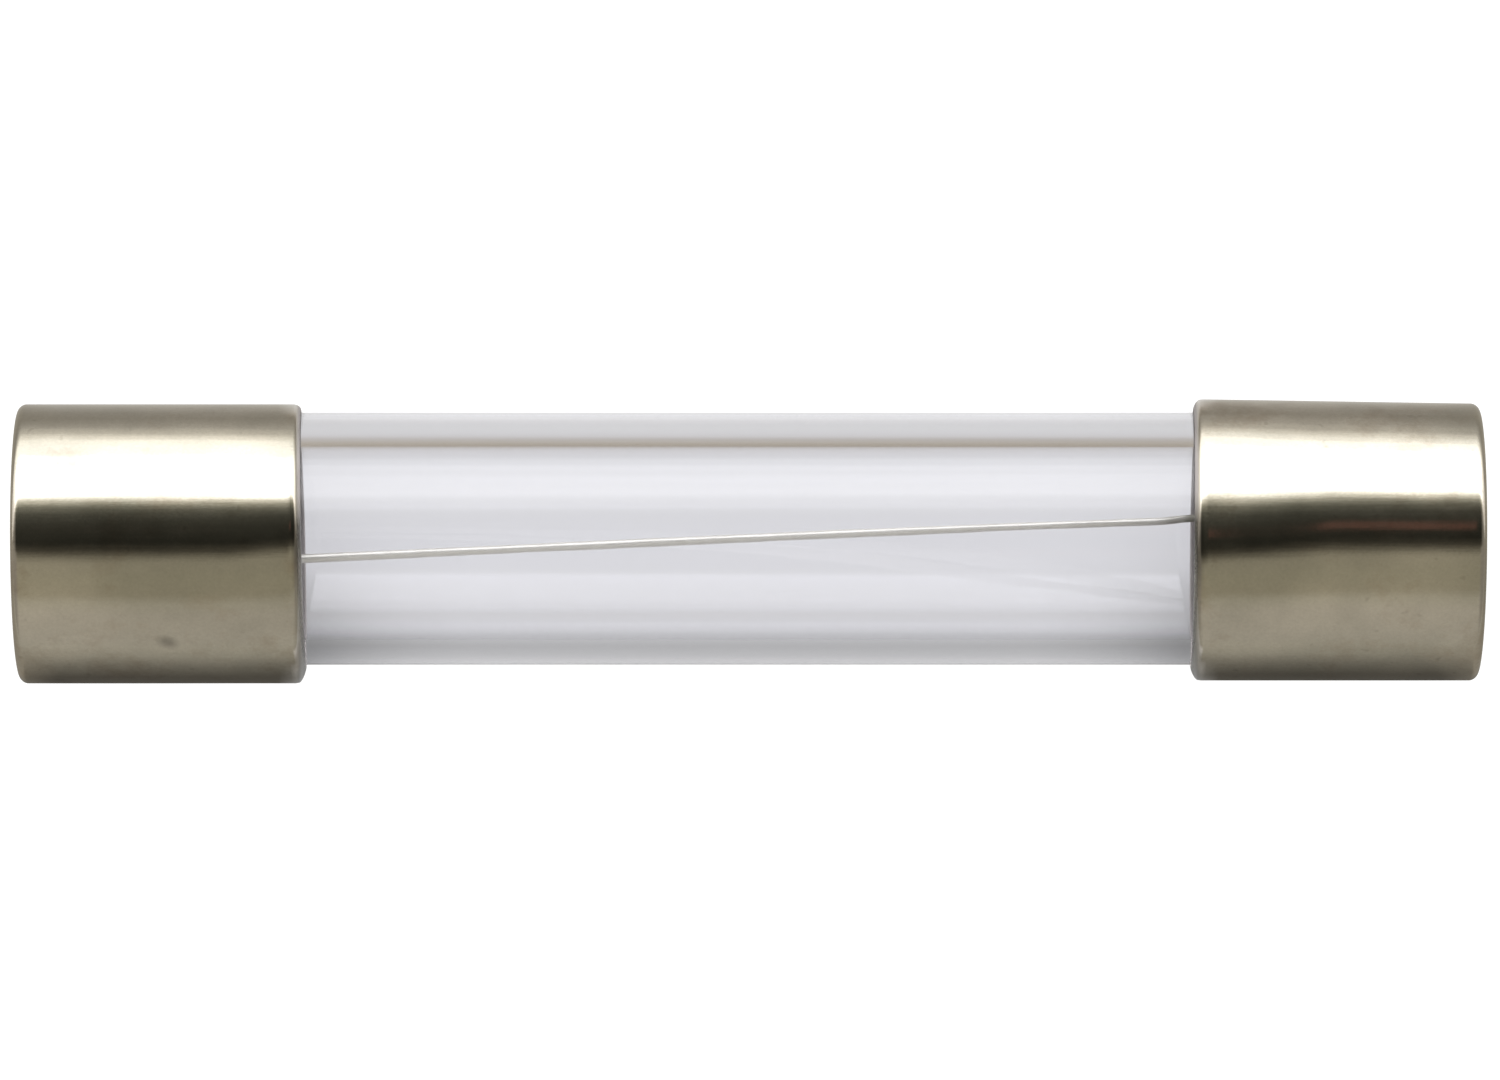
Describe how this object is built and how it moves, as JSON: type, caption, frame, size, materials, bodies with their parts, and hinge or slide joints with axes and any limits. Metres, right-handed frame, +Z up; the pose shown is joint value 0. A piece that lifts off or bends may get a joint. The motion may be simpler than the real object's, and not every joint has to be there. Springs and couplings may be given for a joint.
{
  "type": "glass cartridge fuse",
  "caption": "Glass tube cartridge fuse with bright nickel-plated end caps and a slanting fuse wire soldered between them; it clips into a fuse holder by its caps.",
  "frame": {"origin": "on the glass tube's axis at mid length", "axes": "+X along the tube towards the right cap, +Z up as the fuse lies on its side, +Y across; seen from above with +Y up the page, the wire rises from the left cap to the right one"},
  "size_m": [0.0324, 0.0062, 0.0062],
  "materials": {
    "nickel_plated_brass": "bright nickel plating on drawn brass, faintly warm, lightly handled",
    "clear_glass": "clear soda-lime glass, fire-polished rims",
    "tinned_wire": "tin-plated copper wire, bright",
    "solder": "dull tin solder, smooth where it set",
    "cement": "matt off-white cement"
  },
  "bodies": {
    "root": {"glass_tube": "clear_glass", "fuse_wire": "tinned_wire", "left_end_cap": "nickel_plated_brass", "right_end_cap": "nickel_plated_brass", "left_solder": "solder", "right_solder": "solder", "left_cement_ring": "cement", "right_cement_ring": "cement"}
  },
  "joints": []
}
